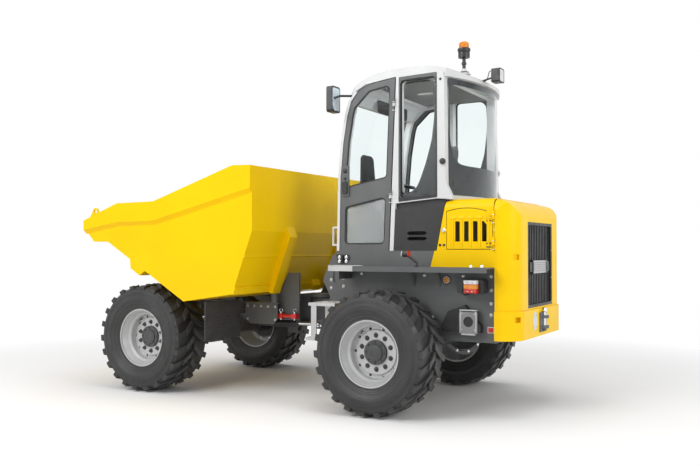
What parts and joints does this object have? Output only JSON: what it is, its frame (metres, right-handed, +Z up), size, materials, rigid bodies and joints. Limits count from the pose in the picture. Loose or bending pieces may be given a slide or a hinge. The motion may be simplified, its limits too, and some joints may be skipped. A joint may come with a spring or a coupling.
{
  "type": "articulated site dumper",
  "caption": "Articulated site dumper with a forward-tipping spout skip, rear engine hood, glazed cab with a hinged door, and lugged wheels on rigid axles.",
  "frame": {"origin": "on the ground under the middle of the machine's length and width", "axes": "+X forward towards the skip's lip, +Y to the machine's left, +Z up"},
  "size_m": [4.76, 2.49, 3.415],
  "materials": {
    "yellow_paint": "gloss",
    "grey_paint": "satin",
    "white_paint": "satin",
    "dark_plastic": "matt",
    "clear_glass": "gloss",
    "tyre_rubber": "matt",
    "flap_rubber": "matt",
    "rim_silver": "satin",
    "hub_iron": "satin",
    "axle_iron": "satin",
    "engine_iron": "matt",
    "tread_plate": "satin",
    "rod_chrome": "polished",
    "pin_steel": "satin",
    "seat_fabric": "matt",
    "red_paint": "gloss",
    "lamp_lens": "gloss",
    "amber_lens": "gloss",
    "white_lens": "gloss",
    "black_plastic": "satin"
  },
  "bodies": {
    "rear_frame": {"rear_chassis": "grey_paint", "rear_axle": "axle_iron", "engine_block": "engine_iron", "fenders": "grey_paint", "steps": "tread_plate", "cab_base": "grey_paint", "side_skirts": "yellow_paint", "cab_frame": "white_paint", "cab_floor": "dark_plastic", "cab_side_panels": "dark_plastic", "side_frame_right": "grey_paint", "cab_glass": "clear_glass", "cab_roof": "white_paint", "seat_base": "dark_plastic", "seat": "seat_fabric", "dash_console": "dark_plastic", "steering_wheel": "black_plastic", "hood_shell": "yellow_paint", "tail_cover": "yellow_paint", "grille": "black_plastic", "tow_hitch": "grey_paint", "tail_lamps": "lamp_lens", "wheel_chock": "black_plastic", "beacon": "amber_lens", "beacon_stand": "black_plastic", "lamp_brackets": "black_plastic", "chock_holder": "grey_paint", "mirrors": "black_plastic"},
    "cab_door": {"door_frame": "grey_paint", "door_glass": "clear_glass"},
    "louvre_left": {"louvre_door_left": "yellow_paint"},
    "louvre_right": {"louvre_door_right": "yellow_paint"},
    "front_frame": {"front_chassis": "grey_paint", "front_axle": "axle_iron", "tip_pins": "pin_steel", "mud_flaps": "flap_rubber", "lock_bar": "red_paint", "head_lamps": "white_lens"},
    "skip": {"skip_shell": "yellow_paint", "skip_frame": "yellow_paint", "skip_ears": "yellow_paint"},
    "tip_cylinder": {"tip_barrel": "black_plastic"},
    "tip_piston": {"tip_rod": "rod_chrome"},
    "steer_cylinder_left": {"steer_barrel_left": "black_plastic"},
    "steer_piston_left": {"steer_rod_left": "rod_chrome"},
    "steer_cylinder_right": {"steer_barrel_right": "black_plastic"},
    "steer_piston_right": {"steer_rod_right": "rod_chrome"},
    "wheel_fl": {"tyre_fl": "tyre_rubber", "rim_fl": "rim_silver", "hub_fl": "hub_iron"},
    "wheel_fr": {"tyre_fr": "tyre_rubber", "rim_fr": "rim_silver", "hub_fr": "hub_iron"},
    "wheel_rl": {"tyre_rl": "tyre_rubber", "rim_rl": "rim_silver", "hub_rl": "hub_iron"},
    "wheel_rr": {"tyre_rr": "tyre_rubber", "rim_rr": "rim_silver", "hub_rr": "hub_iron"}
  },
  "joints": [
    {"name": "steer", "type": "hinge", "parent": "rear_frame", "child": "front_frame", "pos_m": [0.09, 0, 0.825], "axis": [0, 0, 1], "range_deg": [-33, 33]},
    {"name": "skip_tip", "type": "hinge", "parent": "front_frame", "child": "skip", "pos_m": [1.64, 0, 1.015], "axis": [0, 1, 0], "range_deg": [0, 70]},
    {"name": "cab_door_swing", "type": "hinge", "parent": "rear_frame", "child": "cab_door", "pos_m": [-1.076, 0.716, 1.465], "axis": [-0.0438, 0, 0.999], "range_deg": [0, 100]},
    {"name": "louvre_left_swing", "type": "hinge", "parent": "rear_frame", "child": "louvre_left", "pos_m": [-2.098, 0.714, 1.665], "axis": [0, 0, 1], "range_deg": [0, 110]},
    {"name": "louvre_right_swing", "type": "hinge", "parent": "rear_frame", "child": "louvre_right", "pos_m": [-2.098, -0.714, 1.665], "axis": [0, 0, -1], "range_deg": [0, 110]},
    {"name": "wheel_fl_spin", "type": "hinge", "parent": "front_frame", "child": "wheel_fl", "pos_m": [1.58, 0.988, 0.55919], "axis": [0, 1, 0], "continuous": true},
    {"name": "wheel_fr_spin", "type": "hinge", "parent": "front_frame", "child": "wheel_fr", "pos_m": [1.58, -0.988, 0.55919], "axis": [0, 1, 0], "continuous": true},
    {"name": "wheel_rl_spin", "type": "hinge", "parent": "rear_frame", "child": "wheel_rl", "pos_m": [-1.12, 0.988, 0.55919], "axis": [0, 1, 0], "continuous": true},
    {"name": "wheel_rr_spin", "type": "hinge", "parent": "rear_frame", "child": "wheel_rr", "pos_m": [-1.12, -0.988, 0.55919], "axis": [0, 1, 0], "continuous": true},
    {"name": "tip_cylinder_swing", "type": "hinge", "parent": "front_frame", "child": "tip_cylinder", "pos_m": [0.45, 0, 0.615], "axis": [0, 1, 0], "range_deg": [-4, 1]},
    {"name": "tip_piston_slide", "type": "slide", "parent": "tip_cylinder", "child": "tip_piston", "axis": [0.9015, 0, 0.4327], "range_m": [0, 0.23569]},
    {"name": "steer_cylinder_left_swing", "type": "hinge", "parent": "front_frame", "child": "steer_cylinder_left", "pos_m": [0.76, 0.33, 0.7], "axis": [0, 0, 1], "range_deg": [-6, 6]},
    {"name": "steer_piston_left_slide", "type": "slide", "parent": "steer_cylinder_left", "child": "steer_piston_left", "axis": [-0.9953, -0.0971, 0], "range_m": [-0.15277, 0.15277]},
    {"name": "steer_cylinder_right_swing", "type": "hinge", "parent": "front_frame", "child": "steer_cylinder_right", "pos_m": [0.76, -0.33, 0.7], "axis": [0, 0, 1], "range_deg": [-6, 6]},
    {"name": "steer_piston_right_slide", "type": "slide", "parent": "steer_cylinder_right", "child": "steer_piston_right", "axis": [-0.9953, 0.0971, 0], "range_m": [-0.15277, 0.15277]}
  ],
  "couplings": [
    {"joint": "tip_cylinder_swing", "follows": "skip_tip", "ratio": -0.03331},
    {"joint": "tip_piston_slide", "follows": "skip_tip", "m_per_rad": 0.18964},
    {"joint": "steer_cylinder_left_swing", "follows": "steer", "ratio": -0.151},
    {"joint": "steer_piston_left_slide", "follows": "steer", "m_per_rad": -0.2583},
    {"joint": "steer_cylinder_right_swing", "follows": "steer", "ratio": -0.151},
    {"joint": "steer_piston_right_slide", "follows": "steer", "m_per_rad": 0.2583}
  ]
}
